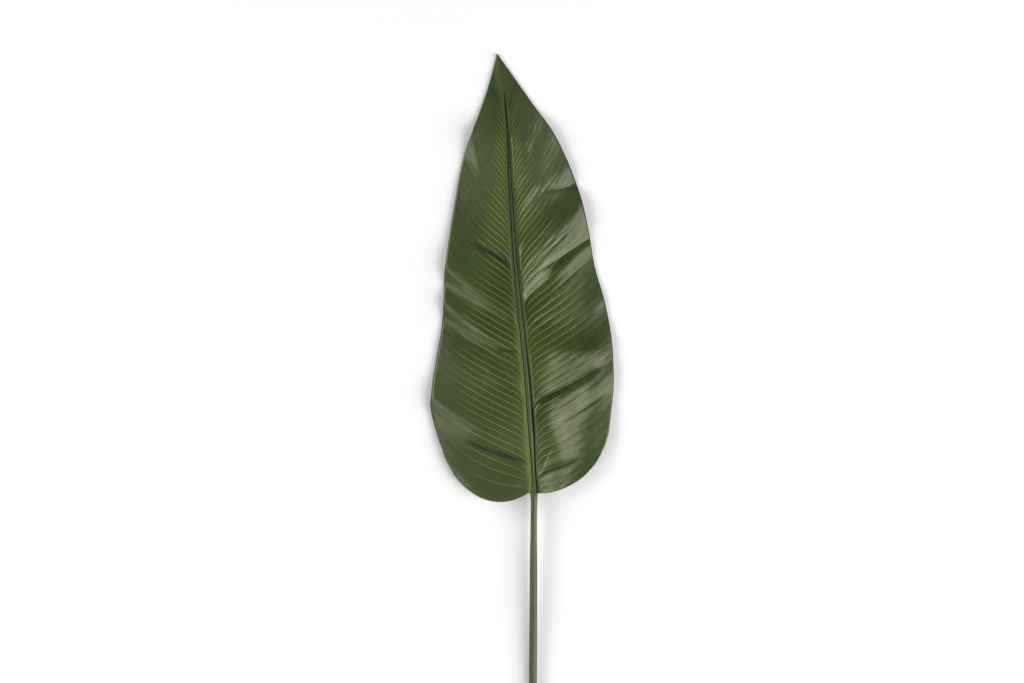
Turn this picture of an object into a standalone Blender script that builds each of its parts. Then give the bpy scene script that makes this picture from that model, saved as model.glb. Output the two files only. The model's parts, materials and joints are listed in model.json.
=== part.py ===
"""Philodendron leaf, laid down on its underside: one waved blade on one stalk.

The leaf lies along Y with its tip towards +Y and its upper face up, and it rests on the plane z = 0.
Tables are in millimetres, measured from the place where the stalk meets the blade, and every
function turns them into metres. The row of the blade that leaves the midrib at a given height is
called by that height, its root, and a place on the row by its share across, 0 at the midrib and
1 at the edge.
"""
import math

import bmesh
import bpy
import numpy as np

MM = 0.001

# Driving dimensions, in millimetres
BLADE_LENGTH = 396.0
STALK_LENGTH = 260.0
SHEET_THICKNESS = 0.8
STALK_CLEARANCE = 0.55
BOX_CENTRE = (-10.7, 68.2)

# Side veins: how many, and the two terms that close them up towards the tip
VEINS = 56
VEIN_REACH = 352.0
VEIN_CROWDING = 9.0
TIP_ROWS = 6
ROWS_PER_VEIN = 2

# Midrib and stalk line: (along, sideways)
STALK_LINE = [
    (-260, -1.6), (-168, -0.9), (-96, -0.5), (-24, -0.2), (0, 0), (42, -2.2), (106, -6.8),
    (166, -13.0), (223, -17.7), (268, -20.7), (327, -23.9), (370, -28.2), (396, -33.3),
]
# Stalk radius: (along, radius), with a small shoulder where the blade begins
STALK_RADIUS = [
    (-260, 3.65), (-168, 3.6), (-96, 3.5), (-60, 3.35), (-38, 3.0), (-14, 2.95), (-6, 3.05), (-2.5, 3.3),
    (2, 2.75), (60, 2.6), (140, 2.3), (210, 2.0), (270, 1.5), (310, 1.05), (345, 0.6), (396, 0.15),
]
# Height of the stalk's underside over the table: (along, height)
STALK_RISE = [
    (-260, 0), (-230, 0), (-200, 0), (-130, 2.6), (-60, 6.2), (0, 9.0), (60, 11.2), (130, 12.0),
    (200, 10.6), (270, 6.8), (330, 2.8), (396, 0.8),
]
MIDRIB_END = 346.0
MIDRIB_ROUND = ((1.2, 0.75), (2.0, 0.35))
CHANNEL_CLOSED = 366.0
CHANNEL_CLOSING = 13.0
STALK_SIDES = 12
STALK_STEP = 12.0
SHOULDER = (-10.0, 6.0, 2.0)

# Channel that holds the midrib, as angles round the stalk's centre, and the lip beside it
CHANNEL_ANGLES = (-90.0, -57.0, -24.0, 10.0)
LIP_TURN = (0.5, 0.7)
LIP_REACH = (1.6, 0.9)

# Blade edge: (root, sideways, along) for the left and the right half
LEFT_EDGE = [
    (0, -71.6, 16), (2.5, -78.3, 28), (7, -83.6, 42), (20, -91.3, 67), (45, -92.3, 91),
    (75, -88.3, 119), (110, -82.8, 152), (160, -80.2, 202), (210, -72.7, 254), (255, -63.8, 301),
    (300, -51.7, 336), (340, -42.6, 362), (370, -37, 381), (396, -33.3, 396),
]
RIGHT_EDGE = [
    (0, 46, 16), (4, 53, 23.5), (15, 62.8, 40), (40, 70.1, 77), (78, 71.3, 123), (125, 64.4, 170),
    (160, 53.6, 210), (178, 49.6, 235), (195, 44.3, 259), (230, 32.8, 293), (270, 17.8, 324),
    (310, -0.5, 350), (350, -14.6, 370), (374, -22.6, 381.5), (396, -33.3, 396),
]
# Bottom edges of the two lobes: the inner points of the lowest row's curve
LEFT_LOBE = ((-24, -12), (-50, -12.5))
RIGHT_LOBE = ((16, -1), (34, 5))
LOBE_FADE = 14.0

# Rows leave flatter than their chord and end steeper, and run down along the midrib at their roots
ROW_BEND = math.radians(5.0)
ROW_HANDLE = 0.35
ROOT_DROP = 5.5
ROOT_DROP_FADE = 2.6
ROOT_DROP_START = 12.0
ROOT_DROP_THINNING = 0.6

# Height of the edge over the table: (root, height)
LEFT_EDGE_HEIGHT = [
    (0, 6.4), (22, 3.0), (42, 4.8), (75, 2.7), (98, 2.7), (117, 1.6), (131, 4.2), (146, 1.5), (163, 4.5),
    (190, 3.4), (225, 2.6), (255, 1.6), (281, 5.8), (310, 2.0), (350, 1.4), (396, 0.8),
]
RIGHT_EDGE_HEIGHT = [
    (0, 6.5), (30, 3.6), (50, 1.4), (64, 2.8), (78, 2.3), (92, 2.9), (116, 1.2), (145, 0.5), (176, 1.6),
    (197, 4.0), (214, 1.0), (232, 2.3), (250, 2.4), (280, 4.8), (307, 1.2), (350, 1.0), (396, 0.5),
]
# Droop of each half from the midrib to its edge: extra height half way, how late it bends down,
# and how much lower the base lobe lies half way
LEFT_DROOP = (3.4, 1.3, 1.0)
RIGHT_DROOP = (0.6, 1.15, 2.7)
# How far up the blade the dip of the lobe and the extra height half way fade out
LOBE_DIP_FADE = 42.0
BELLY_FADE = 190.0
# Broad folds of each half: (root, shift for each share across, width below, width above, from share,
# to share, height)
LEFT_FOLDS = [
    (38, 0, 15, 13, 0.3, 1.1, 2.6), (96, 0, 10.5, 9, 0.0, 0.4, 1.6), (128, 0, 9.5, 12, 0.0, 1.1, 2.2),
    (162, 0, 10, 14, 0.0, 1.1, 2.8), (240, 0, 18, 18, 0.3, 0.9, 1.2), (238, 48, 14, 10, 0.6, 1.1, 1.6),
]
RIGHT_FOLDS = [
    (28, 0, 13, 7, 0.0, 0.4, 1.0), (77, -9, 22, 3.5, 0.0, 0.6, 2.2), (76, -120, 18, 26, 0.02, 0.34, 2.0),
    (50, 0, 45, 45, 0.72, 1.2, 2.0), (117, -36, 22, 18, 0.0, 0.22, 2.2), (130, -48, 18, 12, 0.12, 0.84, 3.2),
    (133, 0, 10, 14, 0.85, 1.1, 2.0), (175, -3, 6, 4, 0.45, 1.1, 1.2), (175, 0, 11, 7, -0.1, 0.4, -1.8),
    (213, 0, 24, 10, -0.1, 0.45, 3.6), (226, -27, 18, 10, 0.45, 1.1, 4.0), (256, 0, 7, 5, 0.12, 0.4, 1.5),
    (272, -38, 14, 28, 0.48, 1.1, 2.4), (282, -2, 26, 14, 0.42, 1.1, 2.4), (300, 0, 30, 20, -0.2, 0.1, 2.4),
    (318, 0, 9, 6, 0.0, 0.35, 0.9),
]
# Sharp creases of each half: (root, shift for each share across, width, from share, to share, depth)
LEFT_CREASES = [
    (27, -8, 4.5, 0.03, 0.62, 1.4), (128, -37, 4, 0.0, 0.3, 1.3), (208, -14, 9.0, 0.0, 0.6, 1.5),
]
RIGHT_CREASES = [
    (19.5, -3, 3.6, 0.0, 0.5, 1.4), (53, 1, 3.6, 0.3, 0.85, 1.0), (82.5, -6, 4, -0.05, 0.75, 2.1),
    (190, -16, 4.5, 0.3, 1.1, 1.4), (273, -60, 4.1, 0.5, 1.1, 1.2),
]
FOLD_END = 0.12
CREASE_END = 0.08
CREASE_POWER = 1.5

# Quilting between the side veins, deepest beside the midrib: its height, its fade across, the share
# across where it starts, and over how many veins it ends at the tip
QUILT_HEIGHT = 0.13
QUILT_FADE = 0.6
QUILT_START = 0.08
QUILT_END = 6.0

# How softly the blade bends where it meets the table, and what is one point at the tip
TABLE_SOFTNESS = 0.5
TIP_MERGE = 0.02

# Plain colours, linear, and roughness of the two pieces
BLADE_GREEN = (0.045, 0.08, 0.02)
BLADE_ROUGHNESS = 0.45
STALK_OLIVE = (0.13, 0.15, 0.06)
STALK_ROUGHNESS = 0.5

# Columns of the blade between the lip and the edge, as shares across
COLUMNS = (0.0, 0.07, 0.19, 0.36, 0.56, 0.78, 1.0)

LEFT = -1
RIGHT = 1


def through(knots, at, column=1):
    """Value of a smooth curve through the knots, which hold a position and one or more values."""
    table = np.array(knots, dtype=float)
    position = table[:, 0]
    value = table[:, column]
    slope = np.gradient(value, position)
    at = np.clip(at, position[0], position[-1])
    index = np.clip(np.searchsorted(position, at, side="right") - 1, 0, len(position) - 2)
    step = position[index + 1] - position[index]
    share = (at - position[index]) / step
    rise = value[index + 1] - value[index]
    bow_start = slope[index] * step - rise
    bow_end = rise - slope[index + 1] * step
    bow = share * (1 - share) * ((1 - share) * bow_start + share * bow_end)
    return value[index] + share * rise + bow


def vein_root(number):
    """Height on the midrib of a row, by its vein number; rows go on to the tip past the last vein."""
    share = np.minimum(number / VEINS, 1.0)
    root = VEIN_REACH * share - VEIN_CROWDING * share**3
    last = VEIN_REACH - VEIN_CROWDING
    beyond = np.maximum(number - VEINS, 0.0) / TIP_ROWS
    return root + beyond * (BLADE_LENGTH - last)


def tip_fade(root):
    """1 along the blade, falling to 0 at the tip, where the channel closes up."""
    return np.clip((BLADE_LENGTH - root) / (BLADE_LENGTH - MIDRIB_END), 0.0, 1.0)


def channel_depth(root):
    """1 where the channel holds the midrib, falling to 0 a little past the midrib's end."""
    return np.clip((CHANNEL_CLOSED - root) / CHANNEL_CLOSING, 0.0, 1.0)


def root_drop(root):
    """How far a row has run down along the midrib by the time it reaches it."""
    lobe = 1.0 - np.exp(-root / ROOT_DROP_START)
    return ROOT_DROP * lobe * (1.0 - ROOT_DROP_THINNING * root / BLADE_LENGTH) * tip_fade(root)


def stalk_radius(along):
    return through(STALK_RADIUS, along)


def stalk_centre_height(along):
    """The stalk's flat bottom facet lies at its underside height, so its centre is above it."""
    underside = np.maximum(through(STALK_RISE, along), 0.0)
    return underside + stalk_radius(along) * math.cos(math.pi / STALK_SIDES)


def channel_radius(along):
    return stalk_radius(along) + STALK_CLEARANCE + SHEET_THICKNESS / 2


def channel_profile(along):
    """Sideways and upward offsets from the stalk's centre: channel wall, turn and lip."""
    radius = channel_radius(along)
    wall_end = math.radians(CHANNEL_ANGLES[-1])
    out = [radius * math.cos(math.radians(angle)) for angle in CHANNEL_ANGLES]
    up = [radius * math.sin(math.radians(angle)) for angle in CHANNEL_ANGLES]
    for reach, rise in (LIP_TURN, LIP_REACH):
        out.append(radius * math.cos(wall_end) + reach)
        up.append(radius * math.sin(wall_end) + rise)
    return out, up


def row_path(side, root, across):
    """Plan position of a point on a row of the blade, from the lip to the edge."""
    edge = LEFT_EDGE if side == LEFT else RIGHT_EDGE
    lobe = LEFT_LOBE if side == LEFT else RIGHT_LOBE
    drop = root_drop(root)
    lip = channel_profile(root - drop)[0][-1] * tip_fade(root)
    start = np.stack([through(STALK_LINE, root - drop) + side * lip, root])
    end = np.stack([through(edge, root, 1), through(edge, root, 2)])
    inner, outer = row_handles(side, start, end)
    zero = np.zeros(1)
    lobe_start = np.array([[side * channel_profile(zero)[0][-1][0]], [0.0]])
    lobe_end = np.array([[edge[0][1]], [edge[0][2]]])
    lobe_inner, lobe_outer = row_handles(side, lobe_start, lobe_end)
    weight = np.exp(-root / LOBE_FADE)
    inner = inner + weight * (np.array(lobe[0])[:, None] - lobe_inner)
    outer = outer + weight * (np.array(lobe[1])[:, None] - lobe_outer)
    rest = 1.0 - across
    path = rest**3 * start + 3 * rest**2 * across * inner + 3 * rest * across**2 * outer + across**3 * end
    sideways = np.abs(path[0] - start[0])
    path[1] -= drop * np.exp(-sideways / ROOT_DROP_FADE)
    return path[0], path[1]


def row_handles(side, start, end):
    """The two inner points of a row's curve, turned a little off its chord."""
    chord = (end - start) * ROW_HANDLE
    flat = turned(chord, -side * ROW_BEND)
    steep = turned(chord, side * ROW_BEND)
    return start + flat, end - steep


def turned(vector, angle):
    cosine = math.cos(angle)
    sine = math.sin(angle)
    return np.stack([vector[0] * cosine - vector[1] * sine, vector[0] * sine + vector[1] * cosine])


def blade_height(side, number, across, along):
    """Height of the sheet's middle over the table, with its droop, folds and quilting."""
    root = vein_root(number)
    start = stalk_centre_height(along) + channel_profile(along)[1][-1]
    edge = through(LEFT_EDGE_HEIGHT if side == LEFT else RIGHT_EDGE_HEIGHT, root)
    belly, power, lobe_dip = LEFT_DROOP if side == LEFT else RIGHT_DROOP
    half_way = belly * np.exp(-((root / BELLY_FADE) ** 2))
    half_way = half_way - lobe_dip * np.exp(-((root / LOBE_DIP_FADE) ** 2))
    height = start + (edge - start) * across**power + half_way * 4 * across * (1 - across)
    return height + folds(side, root, across) - creases(side, root, across) + quilting(number, across)


def stretch(across, start, end, softness):
    """1 between two shares across, fading softly at both."""
    return 0.25 * (1 + np.tanh((across - start) / softness)) * (1 + np.tanh((end - across) / softness))


def folds(side, root, across):
    total = np.zeros_like(root)
    for centre, shift, below, above, start, end, height in LEFT_FOLDS if side == LEFT else RIGHT_FOLDS:
        away = root - centre - shift * across
        width = np.where(away < 0.0, below, above)
        total = total + height * np.exp(-((away / width) ** 2)) * stretch(across, start, end, FOLD_END)
    return total


def creases(side, root, across):
    total = np.zeros_like(root)
    for centre, shift, width, start, end, depth in LEFT_CREASES if side == LEFT else RIGHT_CREASES:
        away = np.abs(root - centre - shift * across) / width
        total = total + depth * np.exp(-away**CREASE_POWER) * stretch(across, start, end, CREASE_END)
    return total


def quilting(number, across):
    """The sheet stands up between the side veins and dips along them."""
    beyond = np.clip(0.5 + (VEINS - number) / QUILT_END, 0.0, 1.0)
    near_lip = np.clip(across / QUILT_START, 0.0, 1.0)
    pillow = 2.0 * np.abs(np.sin(np.pi * number)) - 1.0
    return QUILT_HEIGHT * np.exp(-across / QUILT_FADE) * pillow * beyond * near_lip


def on_table(height):
    """Bends down onto the table what would pass below it."""
    floor = SHEET_THICKNESS / 2
    return floor + TABLE_SOFTNESS * np.logaddexp(0.0, (height - floor) / TABLE_SOFTNESS)


def blade_columns():
    """Columns from the left edge to the right edge: (side, kind, channel step or share across)."""
    channel = len(CHANNEL_ANGLES) + 1
    half = [("channel", step) for step in range(channel)]
    half += [("row", share) for share in COLUMNS]
    left = [(LEFT, kind, value) for kind, value in reversed(half[1:])]
    right = [(RIGHT, kind, value) for kind, value in half]
    return left + right


def blade_point(side, kind, value, number):
    """One column of the blade: sideways, along and height for every row."""
    root = vein_root(number)
    if kind == "row":
        share = np.full_like(number, value)
        sideways, along = row_path(side, root, share)
        return sideways, along, on_table(blade_height(side, number, share, along))
    along = root - root_drop(root)
    out, up = channel_profile(along)
    fade = tip_fade(root)
    lip = up[-1]
    sideways = through(STALK_LINE, along) + side * out[value] * fade
    height = stalk_centre_height(along) + lip + (up[value] - lip) * channel_depth(root)
    return sideways, along, on_table(height)


def collection_named(name):
    collection = bpy.data.collections.new(name)
    bpy.context.scene.collection.children.link(collection)
    return collection


def material(name, color, roughness):
    """A plain matt material of one colour."""
    finish = bpy.data.materials.new(name)
    finish.use_nodes = True
    shader = finish.node_tree.nodes["Principled BSDF"]
    shader.inputs["Base Color"].default_value = (*color, 1.0)
    shader.inputs["Roughness"].default_value = roughness
    finish.diffuse_color = (*color, 1.0)
    return finish


def blade(collection):
    """A grid moved row by row into the blade, split into triangles, then given its thickness."""
    columns = blade_columns()
    numbers = np.arange(0, (VEINS + TIP_ROWS) * ROWS_PER_VEIN + 1) / ROWS_PER_VEIN
    bpy.ops.mesh.primitive_grid_add(
        x_subdivisions=len(columns) - 1, y_subdivisions=len(numbers) - 1, size=1.0
    )
    leaf = bpy.context.object
    leaf.name = "blade"
    places = [blade_point(*column, numbers) for column in columns]
    for vertex in leaf.data.vertices:
        column = round((vertex.co.x + 0.5) * (len(columns) - 1))
        row = round((vertex.co.y + 0.5) * (len(numbers) - 1))
        sideways, along, height = (axis[row] for axis in places[column])
        vertex.co = placed(sideways, along, height)
    close_tip(leaf.data)
    split = leaf.modifiers.new("Triangulate", "TRIANGULATE")
    split.quad_method = "FIXED"
    sheet = leaf.modifiers.new("Solidify", "SOLIDIFY")
    sheet.thickness = SHEET_THICKNESS * MM
    sheet.offset = 0.0
    leaf.data.shade_smooth()
    leaf.data.materials.append(material("blade", BLADE_GREEN, BLADE_ROUGHNESS))
    move_to(leaf, collection)


def close_tip(mesh):
    """The last row has no width, so its points are one."""
    tip = bmesh.new()
    tip.from_mesh(mesh)
    bmesh.ops.remove_doubles(tip, verts=tip.verts, dist=TIP_MERGE * MM)
    tip.to_mesh(mesh)
    tip.free()


def stalk_profile(collection):
    """Cross-section of the stalk, of radius 1, with a flat facet underneath."""
    turns = [-math.pi / 2 - 2 * math.pi * (side + 0.5) / STALK_SIDES for side in range(STALK_SIDES)]
    points = [(math.cos(turn), math.sin(turn)) for turn in turns]
    section = curve_object("stalk_profile", points_in_plane(points), collection)
    section.data.dimensions = "2D"
    section.data.splines[0].use_cyclic_u = True
    section.hide_render = True
    section.display_type = "WIRE"
    return section


def points_in_plane(points):
    return [(x * MM, y * MM, 0.0, 1.0) for x, y in points]


def curve_object(name, points, collection):
    """A curve object with one straight-sided spline; each point is x, y, z and a radius."""
    curve = bpy.data.curves.new(name, "CURVE")
    curve.dimensions = "3D"
    spline = curve.splines.new("POLY")
    spline.points.add(len(points) - 1)
    for point, (x, y, z, radius) in zip(spline.points, points):
        point.co = (x, y, z, 1.0)
        point.radius = radius
    thing = bpy.data.objects.new(name, curve)
    collection.objects.link(thing)
    return thing


def stalk(collection, guides):
    """The stalk and midrib: one section swept along one line, thinning to a rounded end."""
    steps = round((MIDRIB_END + STALK_LENGTH) / STALK_STEP)
    along = np.linspace(-STALK_LENGTH, MIDRIB_END, steps + 1)
    along = np.unique(np.concatenate([along, np.arange(*SHOULDER)]))
    radius = stalk_radius(along)
    for beyond, share in MIDRIB_ROUND:
        along = np.append(along, MIDRIB_END + beyond)
        radius = np.append(radius, stalk_radius(MIDRIB_END) * share)
    sideways = through(STALK_LINE, along)
    height = stalk_centre_height(np.minimum(along, MIDRIB_END))
    points = []
    for index in range(len(along)):
        points.append((*placed(sideways[index], along[index], height[index]), radius[index]))
    rod = curve_object("stalk", points, collection)
    rod.data.twist_mode = "Z_UP"
    rod.data.bevel_mode = "OBJECT"
    rod.data.bevel_object = stalk_profile(guides)
    rod.data.use_fill_caps = True
    rod.data.materials.append(material("stalk", STALK_OLIVE, STALK_ROUGHNESS))


def placed(sideways, along, height):
    """Metres in the object's frame, whose origin is under the middle of its box."""
    return (
        (float(sideways) - BOX_CENTRE[0]) * MM,
        (float(along) - BOX_CENTRE[1]) * MM,
        float(height) * MM,
    )


def move_to(thing, collection):
    for old in list(thing.users_collection):
        old.objects.unlink(thing)
    collection.objects.link(thing)


def build():
    for thing in list(bpy.data.objects):
        bpy.data.objects.remove(thing, do_unlink=True)
    leaf = collection_named("philodendron_leaf")
    guides = collection_named("guides")
    blade(leaf)
    stalk(leaf, guides)


build()
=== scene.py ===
"""Looks of a philodendron leaf laid on a pale floor and seen from straight above.

The fine blade and stalk repeat the formulas of the part, in millimetres from the place where the
stalk meets the blade, with finer quilting, veins and creases.
"""
import json
import math

import bmesh
import bpy
import numpy as np
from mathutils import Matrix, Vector

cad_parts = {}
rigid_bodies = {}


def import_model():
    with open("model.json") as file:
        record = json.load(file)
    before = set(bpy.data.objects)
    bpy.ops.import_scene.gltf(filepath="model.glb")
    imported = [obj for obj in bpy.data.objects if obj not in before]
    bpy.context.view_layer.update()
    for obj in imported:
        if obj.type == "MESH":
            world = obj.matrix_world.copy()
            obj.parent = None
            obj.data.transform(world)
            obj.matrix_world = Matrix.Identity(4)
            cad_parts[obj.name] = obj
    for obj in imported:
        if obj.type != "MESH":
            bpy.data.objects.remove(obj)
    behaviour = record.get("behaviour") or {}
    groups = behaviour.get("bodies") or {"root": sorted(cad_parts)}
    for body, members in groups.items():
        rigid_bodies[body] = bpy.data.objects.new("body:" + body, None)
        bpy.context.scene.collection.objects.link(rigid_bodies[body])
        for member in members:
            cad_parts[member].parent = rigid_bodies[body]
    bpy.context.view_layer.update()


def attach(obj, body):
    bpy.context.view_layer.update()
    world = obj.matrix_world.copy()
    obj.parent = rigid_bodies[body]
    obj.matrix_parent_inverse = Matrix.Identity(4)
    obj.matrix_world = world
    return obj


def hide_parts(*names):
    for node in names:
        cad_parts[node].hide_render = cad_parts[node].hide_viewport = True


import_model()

MM = 0.001
LEFT = -1
RIGHT = 1

# The leaf's driving dimensions in millimetres, as in the part
BLADE_LENGTH = 396.0
STALK_LENGTH = 260.0
SHEET_THICKNESS = 0.8
STALK_CLEARANCE = 0.55
BOX_CENTRE = (-10.7, 68.2)

# Side veins: how many, and the two terms that close them up towards the tip
VEINS = 56
VEIN_REACH = 352.0
VEIN_CROWDING = 9.0
TIP_ROWS = 6

# Midrib and stalk line: (along, sideways)
STALK_LINE = [
    (-260, -1.6), (-168, -0.9), (-96, -0.5), (-24, -0.2), (0, 0), (42, -2.2), (106, -6.8),
    (166, -13.0), (223, -17.7), (268, -20.7), (327, -23.9), (370, -28.2), (396, -33.3),
]
# Stalk radius: (along, radius), with a small shoulder where the blade begins
STALK_RADIUS = [
    (-260, 3.65), (-168, 3.6), (-96, 3.5), (-60, 3.35), (-38, 3.0), (-14, 2.95), (-6, 3.05), (-2.5, 3.3),
    (2, 2.75), (60, 2.6), (140, 2.3), (210, 2.0), (270, 1.5), (310, 1.05), (345, 0.6), (396, 0.15),
]
# Height of the stalk's underside over the table: (along, height)
STALK_RISE = [
    (-260, 0), (-230, 0), (-200, 0), (-130, 2.6), (-60, 6.2), (0, 9.0), (60, 11.2), (130, 12.0),
    (200, 10.6), (270, 6.8), (330, 2.8), (396, 0.8),
]
MIDRIB_END = 346.0
CHANNEL_CLOSED = 366.0
CHANNEL_CLOSING = 13.0
STALK_SIDES = 12

# Channel that holds the midrib: the angles round the stalk's centre where its wall starts and, for each
# half, where it ends, as (along, angle); then how far the lip reaches beyond it
CHANNEL_BOTTOM = -90.0
CHANNEL_END = {LEFT: ((0, 40), (396, 40)), RIGHT: ((60, 10), (180, 42))}
LIP_REACH = (1.6, 0.9)

# Blade edge: (root, sideways, along) for the left and the right half
LEFT_EDGE = [
    (0, -71.6, 16), (2.5, -78.3, 28), (7, -83.6, 42), (20, -91.3, 67), (45, -92.3, 91),
    (75, -88.3, 119), (110, -82.8, 152), (160, -80.2, 202), (210, -72.7, 254), (255, -63.8, 301),
    (300, -51.7, 336), (340, -42.6, 362), (370, -37, 381), (396, -33.3, 396),
]
RIGHT_EDGE = [
    (0, 46, 16), (4, 53, 23.5), (15, 62.8, 40), (40, 70.1, 77), (78, 71.3, 123), (125, 64.4, 170),
    (160, 53.6, 210), (178, 49.6, 235), (195, 44.3, 259), (230, 32.8, 293), (270, 17.8, 324),
    (310, -0.5, 350), (350, -14.6, 370), (374, -22.6, 381.5), (396, -33.3, 396),
]
# Bottom edges of the two lobes: the inner points of the lowest row's curve
LEFT_LOBE = ((-24, -12), (-50, -12.5))
RIGHT_LOBE = ((16, -1), (34, 5))
LOBE_FADE = 14.0

# Rows leave flatter than their chord and end steeper, and run down along the midrib at their roots
ROW_BEND = math.radians(5.0)
ROW_HANDLE = 0.35
ROOT_DROP = 5.5
ROOT_DROP_FADE = 2.6
ROOT_DROP_START = 12.0
ROOT_DROP_THINNING = 0.6

# Height of the edge over the table: (root, height)
LEFT_EDGE_HEIGHT = [
    (0, 6.4), (22, 3.0), (42, 4.8), (75, 2.7), (98, 2.7), (117, 1.6), (131, 4.2), (146, 1.5), (163, 4.5),
    (190, 3.4), (225, 2.6), (255, 1.6), (281, 5.8), (310, 2.0), (350, 1.4), (396, 0.8),
]
RIGHT_EDGE_HEIGHT = [
    (0, 6.5), (30, 3.6), (50, 1.4), (64, 2.8), (78, 2.3), (92, 2.9), (116, 1.2), (145, 0.5), (176, 1.6),
    (197, 4.0), (214, 1.0), (232, 2.3), (250, 2.4), (280, 4.8), (307, 1.2), (350, 1.0), (396, 0.5),
]
# Droop of each half from the midrib to its edge: extra height half way, how late it bends down,
# and how much lower the base lobe lies half way
LEFT_DROOP = (3.4, 1.3, 1.0)
RIGHT_DROOP = (0.6, 1.15, 2.7)
# How far up the blade the dip of the lobe and the extra height half way fade out
LOBE_DIP_FADE = 42.0
BELLY_FADE = 190.0
# Broad folds of each half: (root, shift for each share across, width below, width above, from share,
# to share, height)
LEFT_FOLDS = [
    (38, 0, 15, 13, 0.3, 1.1, 2.6), (96, 0, 10.5, 9, 0.0, 0.4, 1.6), (128, 0, 9.5, 12, 0.0, 1.1, 2.2),
    (162, 0, 10, 14, 0.0, 1.1, 2.8), (240, 0, 18, 18, 0.3, 0.9, 1.2), (238, 48, 14, 10, 0.6, 1.1, 1.6),
]
RIGHT_FOLDS = [
    (28, 0, 13, 7, 0.0, 0.4, 1.0), (77, -9, 22, 3.5, 0.0, 0.6, 2.2), (76, -120, 18, 26, 0.02, 0.34, 2.0),
    (50, 0, 45, 45, 0.72, 1.2, 2.0), (117, -36, 22, 18, 0.0, 0.22, 2.2),
    (130, -48, 18, 12, 0.12, 0.84, 3.2), (133, 0, 10, 14, 0.85, 1.1, 2.0),
    (175, -3, 6, 4, 0.45, 1.1, 1.2), (175, 0, 11, 7, -0.1, 0.4, -1.8),
    (213, 0, 24, 10, -0.1, 0.45, 3.6), (226, -27, 18, 10, 0.45, 1.1, 4.0), (256, 0, 7, 5, 0.12, 0.4, 1.5),
    (272, -38, 14, 28, 0.48, 1.1, 2.4), (282, -2, 26, 14, 0.42, 1.1, 2.4), (300, 0, 30, 20, -0.2, 0.1, 2.4),
    (318, 0, 9, 6, 0.0, 0.35, 0.9),
]
# Sharp creases of each half: (root, shift for each share across, width, from share, to share, depth)
LEFT_CREASES = [
    (27, -8, 4.5, 0.03, 0.62, 1.4), (128, -37, 4, 0.0, 0.3, 1.3), (208, -14, 9.0, 0.0, 0.6, 1.5),
]
RIGHT_CREASES = [
    (19.5, -3, 3.6, 0.0, 0.5, 1.4), (53, 1, 3.6, 0.3, 0.85, 1.0), (82.5, -6, 4, -0.05, 0.75, 2.1),
    (190, -16, 4.5, 0.3, 1.1, 1.4), (273, -60, 4.1, 0.5, 1.1, 1.2),
]
# Fine creases that only this script has, in the same columns
LEFT_FINE_CREASES = [
    (156, 0, 1.5, 0.2, 0.7, 0.3), (66, -22, 2.4, 0.02, 0.28, 0.6), (110, 0, 1.3, 0.3, 0.9, 0.22),
    (36, -4, 1.5, 0.3, 0.9, 0.3), (262, 20, 1.5, 0.4, 0.9, 0.25),
]
RIGHT_FINE_CREASES = [
    (16.5, 112, 3.4, 0.04, 0.12, -0.8), (197, -8, 1.5, 0.12, 0.8, 0.45), (190, -11, 1.2, 0.3, 0.9, 0.3),
    (206, -17, 1.2, 0.3, 0.75, 0.3), (66, 2, 1.4, 0.25, 0.75, 0.35), (59, 2, 1.2, 0.3, 0.9, 0.3),
    (46, 2, 1.3, 0.35, 0.8, 0.3), (95, -6, 1.4, 0.3, 0.9, 0.3), (163, 0, 1.2, 0.35, 0.8, 0.3),
    (246, -8, 1.3, 0.4, 0.9, 0.3), (10, 0, 1.4, 0.1, 0.6, 0.25),
]
FOLD_END = 0.12
CREASE_END = 0.08
CREASE_POWER = 1.5

# Quilting between the side veins: its height, its fade across, the share across where it starts, over how
# many veins it ends at the tip, and how uneven it is along the rows
QUILT_HEIGHT = 0.13
QUILT_FADE = 0.6
QUILT_START = 0.08
QUILT_END = 6.0
QUILT_UNEVEN = (3.0, 0.5)

# How softly the blade bends where it meets the table, and what is one point at the tip
TABLE_SOFTNESS = 0.5
TIP_MERGE = 0.005

# Fine detail that only this script has
ROWS_IN_VEIN = (0.0, 0.08, 0.22, 0.4, 0.6, 0.78, 0.92)
ROWS_PER_TIP_STEP = 4
CHANNEL_STEPS = 6
LIP_ANGLE = 10.0
LIP_SHARES = (0.2, 0.45, 0.72)
LIP_SWELL = 0.35
CREASE_NARROWING = 0.5
RIPPLE = 0.10
RIPPLE_STRETCH = (1.7, 1.9)
RIPPLE_START = 0.1
SHARES_ACROSS = 48
SHARE_POWER = 1.25

# Waves of the sheet's unevenness: (for each millimetre of root, for each share across, for each half)
WAVES = ((0.21, 5.1, 2.0), (0.37, -9.7, 1.3), (0.093, 13.0, 4.1))

# Rings of the stalk: their step, the closer ones at the shoulder, and those that round off the midrib
STALK_STEP = 3.0
SHOULDER = (-12.0, 6.0, 0.5)
MIDRIB_ROUND = (0.0, 0.8, 1.4, 1.8, 2.0)
MIDRIB_ROUND_RADIUS = 2.05
STALK_ROUND = 40
SHARP_ANGLE = math.radians(50)

# Flutes along the stalk: (count, height, turn), their depth, and how they grow fainter up the midrib
FLUTES = ((5, 1.0, 0.0), (9, 0.5, 0.8))
FLUTE_DEPTH = 0.05
FLUTE_END = 60.0
FLUTE_FADE = 120.0
LEAST_FLUTE = 0.35

# The photo's frame: size of the picture, its scale, and where the stalk meets the blade in it
PICTURE = (1024, 683)
PICTURE_SCALE = 0.9
JUNCTION_PIXEL = (534.0, 493.0)
CAMERA_LENS = 85.0
SENSOR_WIDTH = 36.0
BLADE_LEVEL = 0.008

# The studio, in metres: a floor just under the leaf, where the lights point, and the room's own light
FLOOR_SIZE = 14.0
FLOOR_LEVEL = -0.0002
LIGHT_TARGET = (0.0, 0.12, 0.0)
ROOM_LIGHT = 0.15

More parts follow.
